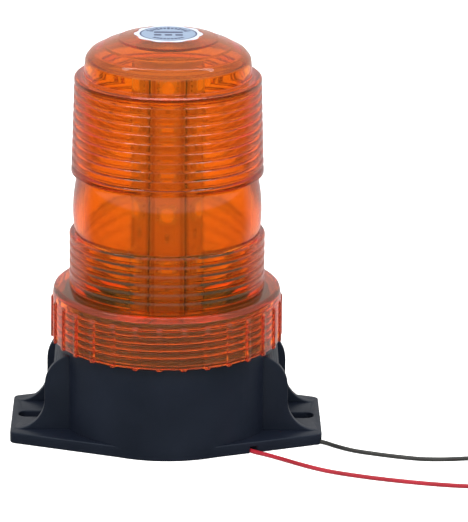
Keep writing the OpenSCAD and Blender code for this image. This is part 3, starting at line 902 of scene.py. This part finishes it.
def led_window(z):
    """The yellow gel that fills a LED's round window, a little domed."""
    r = LED_WINDOW_R - 0.04
    ring = [2 * math.pi * k / 32 for k in range(32)]
    gel = revolve([(0, 0.19), (r * 0.5, 0.16), (r * 0.85, 0.09), (r, 0.03), (r, 0), (0, 0)], ring)
    return placed(gel, lambda px, py, pz: (px, -APOTHEM - LED_T + 0.19 - pz, z + py))


def strip_details(k):
    """What one strip carries beside its LEDs: gel, terminals, resistors, copper lanes, dark edge bands."""
    leds = [LED_FIRST_Z + i * LED_PITCH for i in range(LEDS)]
    gaps = [z - LED_PITCH / 2 for z in leds]
    middle = sum(STRIP_Z) / 2
    length = STRIP_Z[1] - STRIP_Z[0]
    kinds = {
        "led_gel": ([led_window(z) for z in leds], GLOWING_PHOSPHOR, "led_package"),
        "led_terminals": ([block(s * 2.75, z + dz, 0.9, 0.8, 0, 0.45, 0.18)
                           for z in leds for dz in (-1.4, 0, 1.4) for s in (-1, 1)],
                          MATERIALS["solder"], "solder"),
        "strip_resistors": ([block(0, z, 1.25, 1.5, 0, 0.5, 0.08) for z in gaps],
                            CERAMIC, "ceramic_tan"),
        "resistor_ends": ([block(0, z + s * 0.9, 1.3, 0.5, 0, 0.54, 0.12) for z in gaps for s in (-1, 1)],
                          MATERIALS["solder"], "solder"),
        "copper_lanes": ([block(s * 4.3, middle, 1.1, length, -0.02, 0.03, 0.02) for s in (-1, 1)],
                         COPPER, "strip_board"),
        "dark_edge_bands": ([block(s * (STRIP_HALF - 0.14), middle, 0.28, length, -0.05, 0.04, 0.03)
                       for s in (-1, 1)], EDGE, "strip_board"),
    }
    turn = math.radians(60 * (k - 1))
    c, sn = math.cos(turn), math.sin(turn)
    for kind, (solids, material, slot) in kinds.items():
        turned = placed(join(solids), lambda x, y, z: (x * c - y * sn, x * sn + y * c, z))
        make_piece(f"{kind}_{k}", *turned, material, "base", slot)


# The LED gel's phosphor carries a painted glow: emission on a part that is no lamp.
GLOWING_PHOSPHOR = glowing_phosphor_material()
COPPER = track_material()
CERAMIC = plastic_material("pale_ceramic", (0.72, 0.64, 0.52), 0.35, 0.5)
EDGE = edge_material()
for strip in range(1, 7):
    strip_details(strip)

# ---------------------------------------------------------------- sticker

STICKER_LOBES = 10
STICKER_T = 0.13


def sticker_shape(_row, angle, r, z):
    """The sticker's wavy edge, as revolve asks for it."""
    return r * (1 + 0.035 * math.cos(STICKER_LOBES * angle)), z


def sticker_marks():
    """Printed signs that say nothing: the direct-current sign and two rows of ticks."""
    marks = [(0, 1.7, 8.6, 1.7, 0)]
    marks += [(x, -1.6, 2.2, 1.7, 0) for x in (-3.2, 0, 3.2)]
    for k in range(13):
        a = math.radians(30 + 10 * k)
        marks.append((6.5 * math.cos(a), 6.5 * math.sin(a), 0.75, 1.4 if k % 3 else 2.2, a - math.pi / 2))
    for k in range(9):
        a = math.radians(230 + 10 * k)
        marks.append((6.3 * math.cos(a), 6.3 * math.sin(a), 0.9, 1.2, a - math.pi / 2))
    return marks


def build_sticker():
    """The printed film on the dome and the marks on it."""
    ring = [2 * math.pi * k / 288 for k in range(288)]
    rows = [(0, STICKER_T), (3, STICKER_T), (6, STICKER_T), (8, STICKER_T), (9.4, STICKER_T),
            (STICKER_R - 0.08, STICKER_T), (STICKER_R, STICKER_T - 0.05), (STICKER_R, 0), (0, 0)]
    verts, faces = revolve([(r, DOME_TOP + z) for r, z in rows], ring, sticker_shape)
    film = make_piece("sticker_film", verts, faces, MATERIALS["sticker"], "lens", "sticker")
    solids = []
    for x, y, w, h, turn in sticker_marks():
        verts, faces = block(0, 0, w, h, -0.02, 0.012, 0.006)
        c, sn = math.cos(turn), math.sin(turn)
        solids.append(([(x + px * c - pz * sn, y + px * sn + pz * c, DOME_TOP + STICKER_T - APOTHEM - py)
                        for px, py, pz in verts], faces))
    marks = make_piece("sticker_ink", *join(solids), INK, "lens", "sticker")
    for piece in (film, marks):
        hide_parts("lens_sticker")


INK = plastic_material("navy_ink", (0.03, 0.04, 0.1), 0.35, 0.5)
build_sticker()

# ---------------------------------------------------------------- stage and light

FLOOR_HALF = 80.0
FLOOR_GLOW = 0.42
ROOM_PALE = 0.9
ROOM_DIM = 0.08
ROOM_STRENGTH = 0.8
# name, place, aim, size, power, and whether gloss mirrors it
LIGHTS = [
    ("key_softbox", (-0.9, -0.7, 0.9), (0, 0, 0.06), (0.7, 0.9), 10, False),
    ("fill_softbox", (1.0, -0.5, 0.6), (0, 0, 0.06), (0.6, 0.8), 6, False),
    ("top_softbox", (0, 0.4, 1.3), (0, 0, 0.05), (1.2, 1.0), 5, False),
    ("front_softbox", (0, -0.7, 1.05), (0, 0, 0.06), (1.6, 0.4), 10, False),
    ("ceiling_tube", (0, -0.09, 1.3), (0, 0, 0.1), (2.2, 0.2), 6, True),
]


def add_floor():
    """A white table. Gloss on the beacon's upright walls sees the dim room below it instead."""
    mesh = bpy.data.meshes.new("floor")
    s = FLOOR_HALF
    mesh.from_pydata([(-s, -s, 0), (s, -s, 0), (s, s, 0), (-s, s, 0)], [], [(0, 1, 2, 3)])
    floor = bpy.data.objects.new("floor", mesh)
    floor.visible_glossy = False
    bpy.context.scene.collection.objects.link(floor)
    white = Shader("pale_floor", (0.9, 0.9, 0.9), 0.9, Specular_IOR_Level=0.0,
                   Emission_Color=(1, 1, 1, 1), Emission_Strength=FLOOR_GLOW)
    mesh.materials.append(white.material)


def add_light(name, place, aim, size, power, mirrored):
    """A rectangular lamp at place that points at aim."""
    data = bpy.data.lights.new(name, "AREA")
    data.shape = "RECTANGLE"
    data.size, data.size_y = size
    data.energy = power
    lamp = bpy.data.objects.new(name, data)
    lamp.visible_glossy = mirrored
    lamp.location = place
    lamp.rotation_euler = (Vector(aim) - Vector(place)).to_track_quat("-Z", "Y").to_euler()
    bpy.context.scene.collection.objects.link(lamp)


def add_world():
    """A pale room. Below the table's level it stays pale behind the beacon and is dim in front."""
    world = bpy.data.worlds.new("studio")
    world.use_nodes = True
    tree = world.node_tree

    def step(value, low, high, dark, pale):
        node = tree.nodes.new("ShaderNodeMapRange")
        node.interpolation_type = "SMOOTHSTEP"
        for socket, v in (("From Min", low), ("From Max", high), ("To Min", dark), ("To Max", pale)):
            if hasattr(v, "is_output"):
                tree.links.new(v, node.inputs[socket])
            else:
                node.inputs[socket].default_value = v
        tree.links.new(value, node.inputs["Value"])
        return node.outputs["Result"]

    place = tree.nodes.new("ShaderNodeTexCoord")
    split = tree.nodes.new("ShaderNodeSeparateXYZ")
    tree.links.new(place.outputs["Generated"], split.inputs[0])
    low_room = step(split.outputs["Y"], 0.2, 0.6, ROOM_DIM, ROOM_PALE)
    room = step(split.outputs["Z"], -0.02, 0.02, low_room, ROOM_PALE)
    back = tree.nodes["Background"]
    tree.links.new(room, back.inputs["Color"])
    back.inputs["Strength"].default_value = ROOM_STRENGTH
    bpy.context.scene.world = world


add_floor()
add_world()
for light in LIGHTS:
    add_light(*light)

bpy.context.scene.view_settings.view_transform = "Standard"
bpy.context.scene.cycles.max_bounces = 24
bpy.context.scene.cycles.glossy_bounces = 16
bpy.context.scene.cycles.transmission_bounces = 20
